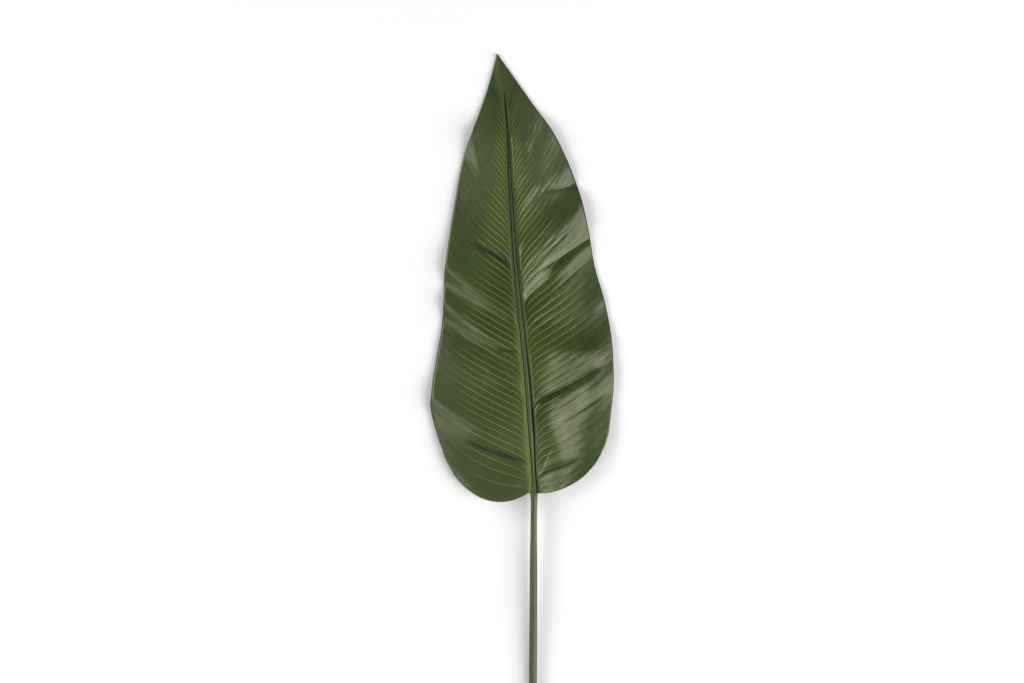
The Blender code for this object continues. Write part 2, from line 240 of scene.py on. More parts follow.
# Sockets of a node that mixes colours: its share and the two colours, and the one for its result
MIX_INPUTS = (0, 6, 7)
MIX_RESULT = 2


def through(knots, at, column=1):
    """Value of a smooth curve through the knots, which hold a position and one or more values."""
    table = np.array(knots, dtype=float)
    position = table[:, 0]
    value = table[:, column]
    slope = np.gradient(value, position)
    at = np.clip(at, position[0], position[-1])
    index = np.clip(np.searchsorted(position, at, side="right") - 1, 0, len(position) - 2)
    step = position[index + 1] - position[index]
    share = (at - position[index]) / step
    rise = value[index + 1] - value[index]
    bow_start = slope[index] * step - rise
    bow_end = rise - slope[index + 1] * step
    bow = share * (1 - share) * ((1 - share) * bow_start + share * bow_end)
    return value[index] + share * rise + bow


def vein_root(number):
    """Height on the midrib of a row, by its vein number; rows go on to the tip past the last vein."""
    share = np.minimum(number / VEINS, 1.0)
    root = VEIN_REACH * share - VEIN_CROWDING * share**3
    last = VEIN_REACH - VEIN_CROWDING
    beyond = np.maximum(number - VEINS, 0.0) / TIP_ROWS
    return root + beyond * (BLADE_LENGTH - last)


def tip_fade(root):
    """1 along the blade, falling to 0 at the tip, where the channel closes up."""
    return np.clip((BLADE_LENGTH - root) / (BLADE_LENGTH - MIDRIB_END), 0.0, 1.0)


def channel_depth(root):
    """1 where the channel holds the midrib, falling to 0 a little past the midrib's end."""
    return np.clip((CHANNEL_CLOSED - root) / CHANNEL_CLOSING, 0.0, 1.0)


def root_drop(root):
    """How far a row has run down along the midrib by the time it reaches it."""
    lobe = 1.0 - np.exp(-root / ROOT_DROP_START)
    return ROOT_DROP * lobe * (1.0 - ROOT_DROP_THINNING * root / BLADE_LENGTH) * tip_fade(root)


def stalk_radius(along):
    return through(STALK_RADIUS, along)


def stalk_centre_height(along):
    """The stalk's flat strip lies at its underside height, so its centre is above it."""
    underside = np.maximum(through(STALK_RISE, along), 0.0)
    return underside + stalk_radius(along) * math.cos(math.pi / STALK_SIDES)


def channel_profile(along, side=RIGHT):
    """Sideways and upward offsets from the stalk's centre: channel wall, turn and lip."""
    radius = stalk_radius(along) + STALK_CLEARANCE + SHEET_THICKNESS / 2
    end = through(CHANNEL_END[side], along)
    angles = np.radians(np.linspace(CHANNEL_BOTTOM, end, CHANNEL_STEPS))
    out = list(radius * np.cos(angles))
    up = list(radius * np.sin(angles))
    wall_out = out[-1]
    wall_up = up[-1]
    lip_out = radius * math.cos(math.radians(LIP_ANGLE)) + LIP_REACH[0]
    lip_up = radius * math.sin(math.radians(LIP_ANGLE)) + LIP_REACH[1]
    for share in LIP_SHARES + (1.0,):
        out.append(wall_out + share * (lip_out - wall_out))
        up.append(wall_up + share * (lip_up - wall_up) + LIP_SWELL * 4 * share * (1 - share))
    return out, up


def turned(vector, angle):
    """A plan vector turned to the left by an angle."""
    cosine = math.cos(angle)
    sine = math.sin(angle)
    return np.stack([vector[0] * cosine - vector[1] * sine, vector[0] * sine + vector[1] * cosine])


def row_handles(side, start, end):
    """The two inner points of a row's curve, turned a little off its chord."""
    chord = (end - start) * ROW_HANDLE
    flat = turned(chord, -side * ROW_BEND)
    steep = turned(chord, side * ROW_BEND)
    return start + flat, end - steep


def row_path(side, root, across):
    """Plan position of a point on a row of the blade, from the lip to the edge."""
    edge = LEFT_EDGE if side == LEFT else RIGHT_EDGE
    lobe = LEFT_LOBE if side == LEFT else RIGHT_LOBE
    drop = root_drop(root)
    lip = channel_profile(root - drop)[0][-1] * tip_fade(root)
    start = np.stack([through(STALK_LINE, root - drop) + side * lip, root])
    end = np.stack([through(edge, root, 1), through(edge, root, 2)])
    inner, outer = row_handles(side, start, end)
    zero = np.zeros(1)
    lobe_start = np.array([[side * channel_profile(zero)[0][-1][0]], [0.0]])
    lobe_end = np.array([[edge[0][1]], [edge[0][2]]])
    lobe_inner, lobe_outer = row_handles(side, lobe_start, lobe_end)
    weight = np.exp(-root / LOBE_FADE)
    inner = inner + weight * (np.array(lobe[0])[:, None] - lobe_inner)
    outer = outer + weight * (np.array(lobe[1])[:, None] - lobe_outer)
    rest = 1.0 - across
    path = rest**3 * start + 3 * rest**2 * across * inner + 3 * rest * across**2 * outer + across**3 * end
    sideways = np.abs(path[0] - start[0])
    path[1] -= drop * np.exp(-sideways / ROOT_DROP_FADE)
    return path[0], path[1]


def stretch(across, start, end, softness):
    """1 between two shares across, fading softly at both."""
    return 0.25 * (1 + np.tanh((across - start) / softness)) * (1 + np.tanh((end - across) / softness))


def folds(side, root, across):
    """Height that the broad folds add."""
    total = np.zeros_like(root)
    for centre, shift, below, above, start, end, height in LEFT_FOLDS if side == LEFT else RIGHT_FOLDS:
        away = root - centre - shift * across
        width = np.where(away < 0.0, below, above)
        total = total + height * np.exp(-((away / width) ** 2)) * stretch(across, start, end, FOLD_END)
    return total


def creases(side, root, across):
    """Depth of the sharp creases, fine ones included."""
    total = np.zeros_like(root)
    left = LEFT_CREASES + LEFT_FINE_CREASES
    right = RIGHT_CREASES + RIGHT_FINE_CREASES
    for centre, shift, width, start, end, depth in left if side == LEFT else right:
        away = np.abs(root - centre - shift * across) / (width * CREASE_NARROWING)
        total = total + depth * np.exp(-away**CREASE_POWER) * stretch(across, start, end, CREASE_END)
    return total


def unevenness(side, root, across):
    """A little natural waviness along and across the rows, between -1 and 1."""
    total = np.zeros_like(root)
    for by_root, by_share, by_half in WAVES:
        total = total + np.sin(by_root * root + by_share * across + by_half * side)
    return total / len(WAVES)


def quilting(side, number, across):
    """The sheet stands up between the side veins and dips along them."""
    beyond = np.clip(0.5 + (VEINS - number) / QUILT_END, 0.0, 1.0)
    near_lip = np.clip(across / QUILT_START, 0.0, 1.0)
    pillow = 2.0 * np.abs(np.sin(np.pi * number)) - 1.0
    stretched, uneven = QUILT_UNEVEN
    size = QUILT_HEIGHT * np.exp(-across / QUILT_FADE)
    size = size * (1.0 + uneven * unevenness(side, stretched * number, across))
    return size * pillow * beyond * near_lip


def blade_height(side, number, across, along):
    """Height of the sheet's middle over the table, with its droop, folds and quilting."""
    root = vein_root(number)
    start = stalk_centre_height(along) + channel_profile(along)[1][-1]
    edge = through(LEFT_EDGE_HEIGHT if side == LEFT else RIGHT_EDGE_HEIGHT, root)
    belly, power, lobe_dip = LEFT_DROOP if side == LEFT else RIGHT_DROOP
    half_way = belly * np.exp(-((root / BELLY_FADE) ** 2))
    half_way = half_way - lobe_dip * np.exp(-((root / LOBE_DIP_FADE) ** 2))
    height = start + (edge - start) * across**power + half_way * 4 * across * (1 - across)
    height = height + folds(side, root, across) - creases(side, root, across)
    ripple = RIPPLE * unevenness(side, RIPPLE_STRETCH[0] * root, RIPPLE_STRETCH[1] * across)
    ripple = ripple * np.clip(across / RIPPLE_START, 0.0, 1.0)
    return height + quilting(side, number, across) + ripple


def on_table(height):
    """Bends down onto the table what would pass below it."""
    floor = SHEET_THICKNESS / 2
    return floor + TABLE_SOFTNESS * np.logaddexp(0.0, (height - floor) / TABLE_SOFTNESS)


def blade_columns():
    """Columns from the left edge to the right edge: (side, kind, channel step or share across)."""
    channel = CHANNEL_STEPS + len(LIP_SHARES)
    shares = np.linspace(0.0, 1.0, SHARES_ACROSS) ** SHARE_POWER
    half = [("channel", step) for step in range(channel)]
    half += [("row", share) for share in shares]
    left = [(LEFT, kind, value) for kind, value in reversed(half[1:])]
    right = [(RIGHT, kind, value) for kind, value in half]
    return left + right


def blade_point(side, kind, value, number):
    """One column of the blade: sideways, along, height and share across for every row."""
    root = vein_root(number)
    if kind == "row":
        share = np.full_like(number, value)
        sideways, along = row_path(side, root, share)
        return sideways, along, on_table(blade_height(side, number, share, along)), share
    along = root - root_drop(root)
    out, up = channel_profile(along, side)
    fade = tip_fade(root)
    lip = up[-1]
    sideways = through(STALK_LINE, along) + side * out[value] * fade
    height = stalk_centre_height(along) + lip + (up[value] - lip) * channel_depth(root)
    channel = CHANNEL_STEPS + len(LIP_SHARES)
    return sideways, along, on_table(height), np.full_like(number, value / channel - 1.0)


def blade_rows():
    """Row numbers, closer together beside each vein."""
    numbers = [vein + part for vein in range(VEINS) for part in ROWS_IN_VEIN]
    steps = TIP_ROWS * ROWS_PER_TIP_STEP
    numbers += [VEINS + step / ROWS_PER_TIP_STEP for step in range(steps + 1)]
    return np.array(numbers)


def placed(sideways, along, height):
    """Metres in the row frame, whose origin is under the middle of the leaf's box."""
    return np.stack([(sideways - BOX_CENTRE[0]) * MM, (along - BOX_CENTRE[1]) * MM, height * MM], axis=-1)


def add_values(mesh, name, values):
    """Keeps a number for each vertex, which the materials read by name."""
    attribute = mesh.attributes.new(name, "FLOAT", "POINT")
    attribute.data.foreach_set("value", np.asarray(values, dtype=np.float32).ravel())


def fine_blade():
    """A grid moved row by row into the blade, with its thickness and its three surfaces."""
    columns = blade_columns()
    numbers = blade_rows()
    bpy.ops.mesh.primitive_grid_add(
        x_subdivisions=len(columns) - 1, y_subdivisions=len(numbers) - 1, size=1.0
    )
    leaf = bpy.context.object
    leaf.name = "fine_blade"
    mesh = leaf.data
    places = [blade_point(*column, numbers) for column in columns]
    flat = np.zeros(len(mesh.vertices) * 3)
    mesh.vertices.foreach_get("co", flat)
    flat = flat.reshape(-1, 3)
    column = np.rint((flat[:, 0] + 0.5) * (len(columns) - 1)).astype(int)
    row = np.rint((flat[:, 1] + 0.5) * (len(numbers) - 1)).astype(int)
    grid = np.array([placed(*place[:3]) for place in places])
    mesh.vertices.foreach_set("co", grid[column, row].astype(np.float32).ravel())
    shares = np.array([place[3] for place in places])
    sides = np.array([side for side, _, _ in columns], dtype=float)
    add_values(mesh, "vein_number", numbers[row])
    add_values(mesh, "share_across", shares[column, row])
    add_values(mesh, "leaf_half", sides[column])
    add_values(mesh, "beside_midrib", beside_midrib(grid[column, row]))
    depths = np.array([crease_depth(*column, numbers) for column in columns])
    add_values(mesh, "crease", depths[column, row])
    close_tip(mesh)
    sheet = leaf.modifiers.new("Solidify", "SOLIDIFY")
    sheet.thickness = SHEET_THICKNESS * MM
    sheet.offset = 0.0
    sheet.material_offset = 1
    sheet.material_offset_rim = 2
    mesh.shade_smooth()
    for surface in (blade_upper(), blade_under(), blade_rim()):
        mesh.materials.append(surface)
    return leaf


def crease_depth(side, kind, value, number):
    """How deep in a crease each point of a column lies, in millimetres."""
    if kind != "row":
        return np.zeros_like(number)
    return creases(side, vein_root(number), np.full_like(number, value))


def beside_midrib(points):
    """Signed distance from the midrib's line, in millimetres."""
    along = points[:, 1] / MM + BOX_CENTRE[1]
    sideways = points[:, 0] / MM + BOX_CENTRE[0]
    return sideways - through(STALK_LINE, along)


def close_tip(mesh):
    """The last row has no width, so its points are one."""
    tip = bmesh.new()
    tip.from_mesh(mesh)
    bmesh.ops.remove_doubles(tip, verts=tip.verts, dist=TIP_MERGE * MM)
    tip.to_mesh(mesh)
    tip.free()


def stalk_section(turn, flutes):
    """Radius factor of the stalk's section: shallow flutes along its upper side."""
    ripple = sum(height * np.cos(count * turn + shift) for count, height, shift in FLUTES)
    upper = 0.5 + 0.5 * np.sin(turn)
    return 1.0 - FLUTE_DEPTH * flutes * upper * (1.0 + ripple) / 2


def fine_stalk():
    """The stalk and midrib as rings from the cut end to the rounded end in the blade."""
    along = np.arange(-STALK_LENGTH, MIDRIB_END, STALK_STEP)
    shoulder = np.arange(*SHOULDER)
    along = np.unique(np.round(np.concatenate([along, shoulder]), 3))
    closing = np.array(MIDRIB_ROUND)
    ends = np.concatenate([along, MIDRIB_END + closing])
    radius = stalk_radius(ends)
    radius[-len(closing):] *= np.sqrt(1.0 - (closing / MIDRIB_ROUND_RADIUS) ** 2)
    turn = 2 * math.pi * np.arange(STALK_ROUND) / STALK_ROUND
    flutes = np.clip((FLUTE_END - ends) / FLUTE_FADE, LEAST_FLUTE, 1.0)
    shape = stalk_section(turn[None, :], flutes[:, None])
    reach = radius[:, None] * shape
    sideways = through(STALK_LINE, ends)[:, None] + reach * np.cos(turn)[None, :]
    centre = stalk_centre_height(np.minimum(ends, MIDRIB_END))
    height = centre[:, None] + reach * np.sin(turn)[None, :]
    flat_end = radius * math.cos(math.pi / STALK_SIDES)
    lowest = centre - flat_end
    height = np.maximum(height, lowest[:, None])
    points = placed(sideways, np.broadcast_to(ends[:, None], sideways.shape), height)
    rod = ring_mesh("fine_stalk", points)
    mesh = rod.data
    add_values(mesh, "around_stalk", np.broadcast_to(turn[None, :], sideways.shape))
    add_values(mesh, "along_stalk", np.broadcast_to(ends[:, None], sideways.shape))
    mesh.materials.append(stalk_skin())
    mesh.materials.append(stalk_cut())
    cut_face = len(mesh.polygons) - 2
    mesh.polygons[cut_face].material_index = 1
    return rod


def ring_mesh(name, points):
    """A closed tube through rings of points. Its last two faces are the flat ends, the first one first."""
    rings, count = points.shape[:2]
    here = np.arange(rings - 1)[:, None] * count + np.arange(count)[None, :]
    beside = np.arange(rings - 1)[:, None] * count + (np.arange(count)[None, :] + 1) % count
    sides = np.stack([here, beside, beside + count, here + count], axis=-1).reshape(-1, 4)[:, ::-1]
    faces = sides.tolist()
    faces.append(list(range(count)))
    faces.append([(rings - 1) * count + index for index in reversed(range(count))])
    mesh = bpy.data.meshes.new(name)
    mesh.from_pydata(points.reshape(-1, 3).tolist(), [], faces)
    mesh.shade_smooth()
    mesh.set_sharp_from_angle(angle=SHARP_ANGLE)
    thing = bpy.data.objects.new(name, mesh)
    bpy.context.scene.collection.objects.link(thing)
    return thing


class Surface:
    """Adds shader nodes to a new material, one short call for each step."""

    def __init__(self, name):
        self.material = bpy.data.materials.new(name)
        self.material.use_nodes = True
        self.tree = self.material.node_tree
        self.shader = self.tree.nodes["Principled BSDF"]

    def join(self, value, socket):
        """Sets a socket to a plain value, or links it."""
        if isinstance(value, (int, float)):
            socket.default_value = value
        elif isinstance(value, tuple):
            socket.default_value = (*value, 1.0) if len(value) == 3 and socket.type == "RGBA" else value
        else:
            self.tree.links.new(value, socket)

    def attribute(self, name):
        """A number kept on the mesh under a name."""
        node = self.tree.nodes.new("ShaderNodeAttribute")
        node.attribute_name = name
        return node.outputs["Fac"]

    def place(self):
        """The point's place on its object."""
        return self.tree.nodes.new("ShaderNodeTexCoord").outputs["Object"]

    def math(self, operation, first, second=0.0, third=0.0):
        """One sum, by the name of its operation."""
        node = self.tree.nodes.new("ShaderNodeMath")
        node.operation = operation
        for value, socket in zip((first, second, third), node.inputs):
            self.join(value, socket)
        return node.outputs[0]

    def product(self, *factors):
        """All factors multiplied with each other."""
        result = factors[0]
        for factor in factors[1:]:
            result = self.math("MULTIPLY", result, factor)
        return result

    def vector(self, *numbers):
        """Three numbers as one place."""
        node = self.tree.nodes.new("ShaderNodeCombineXYZ")
        for value, socket in zip(numbers, node.inputs):
            self.join(value, socket)
        return node.outputs[0]

    def between(self, value, low, high, out_low, out_high):
        """Soft step: a value between low and high becomes one between out_low and out_high."""
        node = self.tree.nodes.new("ShaderNodeMapRange")
        node.interpolation_type = "SMOOTHSTEP"
        for number, socket in zip((value, low, high, out_low, out_high), node.inputs):
            self.join(number, socket)
        return node.outputs[0]

    def noise(self, place, scale, detail, roughness=0.5):
        """Soft noise between 0 and 1."""
        node = self.tree.nodes.new("ShaderNodeTexNoise")
        self.join(place, node.inputs["Vector"])
        node.inputs["Scale"].default_value = scale
        node.inputs["Detail"].default_value = detail
        node.inputs["Roughness"].default_value = roughness
        return node.outputs["Fac"]

    def speckle(self, place):
        """One chance number for each place."""
        node = self.tree.nodes.new("ShaderNodeTexWhiteNoise")
        self.join(place, node.inputs["Vector"])
        return node.outputs["Value"]

    def mix(self, share, first, second):
        """The first colour going over into the second."""
        node = self.tree.nodes.new("ShaderNodeMix")
        node.data_type = "RGBA"
        for value, index in zip((share, first, second), MIX_INPUTS):
            self.join(value, node.inputs[index])
        return node.outputs[MIX_RESULT]

    def bump(self, height, strength, distance):
        """A finely uneven skin; the distance is in metres."""
        node = self.tree.nodes.new("ShaderNodeBump")
        node.inputs["Strength"].default_value = strength
        node.inputs["Distance"].default_value = distance
        self.join(height, node.inputs["Height"])
        return node.outputs[0]

    def finish(self, **values):
        """Sets the shader's sockets by their names and gives the material."""
        self.shader.inputs["Specular Tint"].default_value = (*SHINE_TINT, 1.0)
        for name, value in values.items():
            self.join(value, self.shader.inputs[name.replace("_", " ").title()])
        return self.material


# Colours of the leaf and the floor, linear
SHINE_TINT = (0.96, 0.95, 0.71)
DARK_GREEN = (0.022, 0.038, 0.0085)
MID_GREEN = (0.036, 0.058, 0.016)
STREAK_GREEN = (0.054, 0.080, 0.022)
# Paler grey-green of the painted sheen
PAINTED_SHEEN_GREEN = (0.068, 0.088, 0.038)
VEIN_GREEN = (0.150, 0.205, 0.022)
ROOT_GREEN = (0.110, 0.155, 0.028)
# Near-black green of the painted shade in creases and in the channel
PAINTED_SHADE_GREEN = (0.014, 0.022, 0.014)
UNDER_DARK_GREEN = (0.060, 0.092, 0.034)
UNDER_GREEN = (0.080, 0.115, 0.045)
UNDER_VEIN_GREEN = (0.13, 0.18, 0.06)
RIM_GREEN = (0.012, 0.018, 0.008)
RIM_LIGHT_GREEN = (0.024, 0.034, 0.014)
STALK_DEEP_OLIVE = (0.032, 0.040, 0.013)
STALK_OLIVE = (0.074, 0.090, 0.036)
STALK_BROWN = (0.034, 0.032, 0.015)
# Dark olive of the painted shade on the stalk's sides
STALK_PAINTED_SHADE = (0.020, 0.029, 0.010)
MIDRIB_GREEN = (0.034, 0.058, 0.014)
CUT_OLIVE = (0.20, 0.22, 0.11)
CUT_PALE = (0.34, 0.35, 0.20)
FLOOR_SHADE = (0.88, 0.88, 0.88)
FLOOR_WHITE = (0.90, 0.90, 0.90)

# Soft steps, each as (from, to, value before, value after). First those that pick a half of the blade
RIGHT_HALF = (-0.5, 0.5, 0.0, 1.0)
LEFT_HALF = (-0.5, 0.5, 1.0, 0.0)

# Side veins: width of their lines by vein number and its taper across, softness of a line's sides, how far
# across they reach, how much chance adds to that, and how they fade there
VEIN_WIDTH = (24.0, 46.0, 0.105, 0.15)
VEIN_TAPER = -0.03
VEIN_SIDES = (0.35, 1.2, 1.0, 0.0)
VEIN_SHARE = (14.0, 50.0, 0.84, 0.42)
VEIN_SHARE_CHANCE = 0.12
VEIN_FADE = (-0.34, 0.04, 1.0, 0.0)
# Their strength by vein number and what chance adds to it, their start beside the channel, how they fade at
# the tip, and how faint they are near the foot and out on the right lobe
VEIN_STRENGTH = (24.0, 44.0, 0.45, 0.7)
VEIN_STRENGTH_CHANCE = 0.5
VEIN_START = (-0.03, 0.02, 0.0, 1.0)
VEIN_TIP = (VEINS - 4.0, VEINS + 0.5, 1.0, 0.0)
VEIN_FOOT = (0.5, 5.0, 0.5, 1.0)
RIGHT_LOBE_ROWS = (16.0, 22.0, 1.0, 0.0)
RIGHT_LOBE_LOSS = (0.16, 0.4, 0.0, 0.75)

# Upper face: mottling, streaks along the rows, and the darker, duller tip
MOTTLE = (0.35, 0.65, 0.0, 1.0)
STREAK = (0.45, 0.8, 0.0, 0.5)
STREAK_PLACE = (3.0, 2.5, 7.0)
TIP_SHADE = (VEINS - 1.0, VEINS + 2.0, 0.0, 0.85)
TIP_DULLNESS = (VEINS - 1.0, VEINS + 3.0, 0.0, 0.6)
# Painted sheen, in paler zones: rows and shares across of the upper one, rows of the left lobe, and their
# strength
PAINTED_SHEEN_FROM = (32.0, 40.0, 0.0, 1.0)
PAINTED_SHEEN_TO = (47.0, 56.0, 1.0, 0.0)
PAINTED_SHEEN_ACROSS = (-0.05, 0.1, 0.0, 1.0)
PAINTED_SHEEN_LOBE = (8.0, 18.0, 0.6, 0.0)
PAINTED_SHEEN_STRENGTH = 0.7
# Yellow-green strip beside the midrib: millimetres from its line, rows, halves, and its strength
ROOT_STRIP = (3.5, 7.5, 1.0, 0.0)
ROOT_ROWS = (10.0, 34.0, 1.0, 0.2)
ROOT_HALVES = (-0.5, 0.5, 1.0, 0.3)
ROOT_STRENGTH = 0.75
# Painted shade in the creases by their depth in millimetres, on the left half and on both
LEFT_CREASE_PAINTED_SHADE = (0.35, 1.15, 0.0, 0.8)
CREASE_PAINTED_SHADE = (0.6, 1.9, 0.0, 0.6)
# Painted shade in the channel: its shares across, the rows on the right, and the rows on the left from and
# to
CHANNEL_PAINTED_SHADE = (-0.38, -0.2, 1.0, 0.0)
CHANNEL_RIGHT = (16.0, 30.0, 0.85, 0.0)
CHANNEL_LEFT_FROM = (26.0, 40.0, 0.0, 0.7)
CHANNEL_LEFT_TO = (44.0, 55.0, 1.0, 0.1)
CHANNEL_DULLNESS = (-0.15, 0.0, 0.75, 0.0)
RIM_LINE = (0.985, 0.998, 0.0, 1.0)
# Roughness: least, what streaks and grain add, and soft patches
UPPER_ROUGHNESS = 0.24
STREAK_ROUGHNESS = 0.10
GRAIN_ROUGHNESS = 0.04
PATCH_ROUGHNESS = (0.35, 0.7, -0.02, 0.05)

# Stalk, by its share across from -1 to 1 and its millimetres along
STALK_STREAK = (0.35, 0.68, 0.0, 1.0)
STALK_STREAK_PLACE = (2.2, 2.2, 0.012)
STALK_LOW = (-70.0, -30.0, 0.7, 0.0)
BROWN_LINE_AT = -0.06
BROWN_LINE_SIDES = (0.04, 0.26, 1.0, 0.0)
# Painted shade on the stalk's left side, and on its right side low down
STALK_LEFT_PAINTED_SHADE = (-0.85, -0.55, 0.8, 0.0)
STALK_RIGHT_PAINTED_SHADE = (0.3, 0.8, 0.0, 1.0)
STALK_TO_MIDRIB = (-6.0, 14.0, 0.0, 1.0)

# Underside and cut end
UNDER_MOTTLE = (0.3, 0.7, 0.0, 1.0)
UNDER_VEIN_STRENGTH = 0.5
CUT_FIBRES = (0.4, 0.62, 0.0, 1.0)

# Noises: (scale, detail) and for some (scale, detail, roughness)
MOTTLE_NOISE = (22.0, 4.0)
STREAK_NOISE = (1.0, 4.0, 0.6)
PATCH_NOISE = (110.0, 3.0)
GRAIN_NOISE = (1800.0, 2.0)
UNDER_MOTTLE_NOISE = (30.0, 4.0)
UNDER_GRAIN_NOISE = (1500.0, 2.0)
RIM_NOISE = (900.0, 2.0)
STALK_STREAK_NOISE = (1.6, 4.0, 0.6)
STALK_GRAIN_NOISE = (1200.0, 2.0)
FIBRE_NOISE = (2600.0, 3.0)
FLOOR_NOISE = (3.0, 2.0)

# Fine unevenness of the skins: (strength, distance in metres), and what streaks add to the grain
UPPER_BUMP = (0.35, 0.0002)
UPPER_STREAK_RELIEF = 0.6
UNDER_BUMP = (0.3, 0.0002)
STALK_BUMP = (0.25, 0.0002)
STALK_STREAK_RELIEF = 2.0
CUT_BUMP = (0.5, 0.0003)

# Roughness of the other surfaces, and what grain adds where it does
UNDER_ROUGHNESS = 0.55
UNDER_GRAIN_ROUGHNESS = 0.12
RIM_ROUGHNESS = 0.6
STALK_ROUGHNESS = 0.38
STALK_GRAIN_ROUGHNESS = 0.1
CUT_ROUGHNESS = 0.75
FLOOR_ROUGHNESS = 0.9


class LeafValues:
    """The numbers kept on the blade's mesh, for its materials."""

    def __init__(self, surface):
        self.number = surface.attribute("vein_number")
        self.across = surface.attribute("share_across")
        self.half = surface.attribute("leaf_half")
        self.sideways = surface.attribute("beside_midrib")
        self.crease = surface.attribute("crease")


def vein_lines(surface, leaf):
    """1 on a side vein's line, fading out before the edge, sooner towards the tip."""
    distance = surface.math("PINGPONG", leaf.number, 0.5)
    width = surface.math("MULTIPLY_ADD", leaf.across, VEIN_TAPER, surface.between(leaf.number, *VEIN_WIDTH))
    line = surface.between(surface.math("DIVIDE", distance, width), *VEIN_SIDES)
    whole = surface.math("ROUND", leaf.number)
    chance = surface.speckle(surface.vector(whole, leaf.half, 0.0))
    strength = surface.between(leaf.number, *VEIN_STRENGTH)
    strength = surface.math("MULTIPLY_ADD", chance, VEIN_STRENGTH_CHANCE, strength)
    start = surface.between(leaf.across, *VEIN_START)
    tip = surface.between(leaf.number, *VEIN_TIP)
    foot = surface.between(leaf.number, *VEIN_FOOT)
    reach = vein_reach(surface, leaf, chance)
    return surface.product(line, reach, right_lobe_veins(surface, leaf), start, tip, foot, strength)


def vein_reach(surface, leaf, chance):
    """1 along each vein, falling to 0 where it ends."""
    share = surface.between(leaf.number, *VEIN_SHARE)
    share = surface.math("SUBTRACT", share, VEIN_SHARE_CHANCE / 2)
    share = surface.math("MULTIPLY_ADD", chance, VEIN_SHARE_CHANCE, share)
    return surface.between(surface.math("SUBTRACT", leaf.across, share), *VEIN_FADE)


def right_lobe_veins(surface, leaf):
    """1 on the blade, less out on the right lobe, where the veins show only beside the midrib."""
    rows = surface.between(leaf.number, *RIGHT_LOBE_ROWS)
    loss = surface.between(leaf.across, *RIGHT_LOBE_LOSS)
    lost = surface.product(surface.between(leaf.half, *RIGHT_HALF), rows, loss)
    return surface.math("SUBTRACT", 1.0, lost)


def painted_sheen_zones(surface, leaf):
    """Strength of the painted sheen, a paler grey-green, in the upper part of the blade and on the left
    lobe.
    """
    upper = surface.product(
        surface.between(leaf.number, *PAINTED_SHEEN_FROM),
        surface.between(leaf.number, *PAINTED_SHEEN_TO),
        surface.between(leaf.across, *PAINTED_SHEEN_ACROSS),
    )
    lobe = surface.between(leaf.number, *PAINTED_SHEEN_LOBE)
    lobe = surface.product(lobe, surface.between(leaf.half, *LEFT_HALF))
    return surface.product(surface.math("MAXIMUM", upper, lobe), PAINTED_SHEEN_STRENGTH)


def root_strip(surface, leaf):
    """Strength of the yellow-green beside the midrib."""
    beside = surface.math("ABSOLUTE", leaf.sideways)
    return surface.product(
        surface.between(beside, *ROOT_STRIP),
        surface.between(leaf.number, *ROOT_ROWS),
        surface.between(leaf.half, *ROOT_HALVES),
        ROOT_STRENGTH,
    )


def painted_crease_shade(surface, leaf):
    """Strength of the painted shade in the creases, which shows sooner on the left half."""
    left = surface.between(leaf.crease, *LEFT_CREASE_PAINTED_SHADE)
    left = surface.product(left, surface.between(leaf.half, *LEFT_HALF))
    return surface.math("MAXIMUM", left, surface.between(leaf.crease, *CREASE_PAINTED_SHADE))


def painted_channel_shade(surface, leaf):
    """Strength of the painted shade beside the midrib: right of it low on the blade, left of it higher up.
    """
    right = surface.between(leaf.half, *RIGHT_HALF)
    right = surface.product(right, surface.between(leaf.number, *CHANNEL_RIGHT))
    left = surface.product(
        surface.between(leaf.half, *LEFT_HALF),
        surface.between(leaf.number, *CHANNEL_LEFT_FROM),
        surface.between(leaf.number, *CHANNEL_LEFT_TO),
    )
    either = surface.math("MAXIMUM", right, left)
    return surface.product(surface.between(leaf.across, *CHANNEL_PAINTED_SHADE), either)


def row_streaks(surface, leaf):
    """Noise drawn out along the rows."""
    by_row, by_share, by_half = STREAK_PLACE
    place = surface.vector(
        surface.product(leaf.number, by_row),
        surface.product(leaf.across, by_share),
        surface.product(leaf.half, by_half),
    )
    return surface.noise(place, *STREAK_NOISE)


def upper_colour(surface, leaf, place, streak):
    """Mottled dark green, then its streaks, zones of painted sheen, veins, painted shade in the creases and
    the channel, and rim.
    """
    mottle = surface.noise(place, *MOTTLE_NOISE)
    colour = surface.mix(surface.between(mottle, *MOTTLE), DARK_GREEN, MID_GREEN)
    colour = surface.mix(surface.between(streak, *STREAK), colour, STREAK_GREEN)
    colour = surface.mix(surface.between(leaf.number, *TIP_SHADE), colour, DARK_GREEN)
    # Painted sheen: a paler grey-green where a broad soft highlight is wanted
    colour = surface.mix(painted_sheen_zones(surface, leaf), colour, PAINTED_SHEEN_GREEN)
    colour = surface.mix(root_strip(surface, leaf), colour, ROOT_GREEN)
    colour = surface.mix(vein_lines(surface, leaf), colour, VEIN_GREEN)
    # Painted shade: darker colour down in the creases
    colour = surface.mix(painted_crease_shade(surface, leaf), colour, PAINTED_SHADE_GREEN)
    # Painted shade: darker colour in the channel beside the midrib
    colour = surface.mix(painted_channel_shade(surface, leaf), colour, PAINTED_SHADE_GREEN)
    return surface.mix(surface.between(leaf.across, *RIM_LINE), colour, RIM_GREEN)


